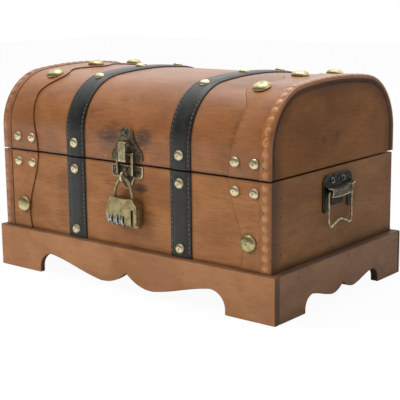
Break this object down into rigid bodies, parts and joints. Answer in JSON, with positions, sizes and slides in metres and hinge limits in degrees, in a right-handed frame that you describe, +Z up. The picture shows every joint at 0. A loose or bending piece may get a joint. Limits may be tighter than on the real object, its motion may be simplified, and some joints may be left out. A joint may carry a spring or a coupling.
{
  "type": "wooden treasure chest",
  "caption": "Small wooden treasure chest with a domed hinged lid, scalloped plinth, leather straps, domed studs, hasp with hanging combination padlock and side bail handles.",
  "frame": {"origin": "on the floor, under the middle of the whole object's box (plinth, padlock and handles included)", "axes": "+X to the right seen from the front, the front with the padlock faces -Y, +Z up"},
  "size_m": [0.2936, 0.1876, 0.1742],
  "materials": {
    "stained_wood": "reddish-brown stain with dark worn patches, satin",
    "end_wood": "darker brown stain, satin",
    "plinth_wood": "matt brown paint stain",
    "inner_wood": "bare, matt",
    "tan_leather": "embossed and stitched, satin",
    "black_leather": "semi-gloss with a raised middle",
    "pale_brass": "pale antique plating",
    "antique_bronze": "antique bronze plating",
    "dark_iron": "blackened",
    "silver_steel": "bright with dark numbers"
  },
  "bodies": {
    "chest": {"front_wall": "stained_wood", "back_wall": "stained_wood", "left_wall": "end_wood", "right_wall": "end_wood", "bottom_panel": "inner_wood", "plinth_front": "plinth_wood", "plinth_back": "plinth_wood", "plinth_left": "plinth_wood", "plinth_right": "plinth_wood", "body_trim_left": "stained_wood", "body_trim_right": "stained_wood", "body_edge_strip_left": "tan_leather", "body_edge_strip_right": "tan_leather", "body_strap_left": "black_leather", "body_strap_right": "black_leather", "body_stud_left": "pale_brass", "body_stud_right": "pale_brass", "hinge_left_body_leaf": "antique_bronze", "hinge_right_body_leaf": "antique_bronze", "hinge_left_pin": "antique_bronze", "hinge_right_pin": "antique_bronze", "hasp_lower_plate": "antique_bronze", "lock_staple": "antique_bronze", "handle_left_plate": "dark_iron", "handle_right_plate": "dark_iron"},
    "lid": {"lid_shell": "stained_wood", "lid_end_left": "end_wood", "lid_end_right": "end_wood", "lid_rail_front": "inner_wood", "lid_rail_back": "inner_wood", "lid_trim_left": "stained_wood", "lid_trim_right": "stained_wood", "lid_edge_strip_left": "tan_leather", "lid_edge_strip_right": "tan_leather", "lid_strap_left": "black_leather", "lid_strap_right": "black_leather", "lid_stud_left_front": "pale_brass", "lid_stud_left_top": "pale_brass", "lid_stud_left_back": "pale_brass", "lid_stud_right_front": "pale_brass", "lid_stud_right_top": "pale_brass", "lid_stud_right_back": "pale_brass", "hinge_left_lid_leaf": "antique_bronze", "hinge_right_lid_leaf": "antique_bronze", "hasp_upper_plate": "antique_bronze"},
    "hasp": {"hasp_link": "antique_bronze"},
    "shackle": {"padlock_shackle": "antique_bronze"},
    "padlock": {"padlock_case": "antique_bronze", "padlock_dial_axle": "silver_steel"},
    "dial_1": {"padlock_dial_1": "silver_steel"},
    "dial_2": {"padlock_dial_2": "silver_steel"},
    "dial_3": {"padlock_dial_3": "silver_steel"},
    "bail_left": {"handle_left_bail": "pale_brass"},
    "bail_right": {"handle_right_bail": "pale_brass"}
  },
  "joints": [
    {"name": "lid_hinge", "type": "hinge", "parent": "chest", "child": "lid", "pos_m": [-0.00045, 0.0917, 0.1028], "axis": [-1, 0, 0], "range_deg": [0, 105]},
    {"name": "hasp_swing", "type": "hinge", "parent": "lid", "child": "hasp", "pos_m": [0.00315, -0.0858, 0.1105], "axis": [-1, 0, 0], "range_deg": [0, 110]},
    {"name": "padlock_swing", "type": "hinge", "parent": "chest", "child": "shackle", "pos_m": [0.00315, -0.0885, 0.09209], "axis": [-1, 0, 0], "range_deg": [0, 60]},
    {"name": "padlock_pull", "type": "slide", "parent": "shackle", "child": "padlock", "axis": [0, 0, -1], "range_m": [0, 0.005]},
    {"name": "dial_1_spin", "type": "hinge", "parent": "padlock", "child": "dial_1", "pos_m": [-0.00755, -0.0896, 0.05929], "axis": [1, 0, 0], "continuous": true},
    {"name": "dial_2_spin", "type": "hinge", "parent": "padlock", "child": "dial_2", "pos_m": [-0.00165, -0.0896, 0.05929], "axis": [1, 0, 0], "continuous": true},
    {"name": "dial_3_spin", "type": "hinge", "parent": "padlock", "child": "dial_3", "pos_m": [0.00425, -0.0896, 0.05929], "axis": [1, 0, 0], "continuous": true},
    {"name": "bail_left_swing", "type": "hinge", "parent": "chest", "child": "bail_left", "pos_m": [-0.14405, 0.0033, 0.0842], "axis": [0, 1, 0], "range_deg": [0, 110]},
    {"name": "bail_right_swing", "type": "hinge", "parent": "chest", "child": "bail_right", "pos_m": [0.14315, 0.0033, 0.0842], "axis": [0, -1, 0], "range_deg": [0, 110]}
  ]
}
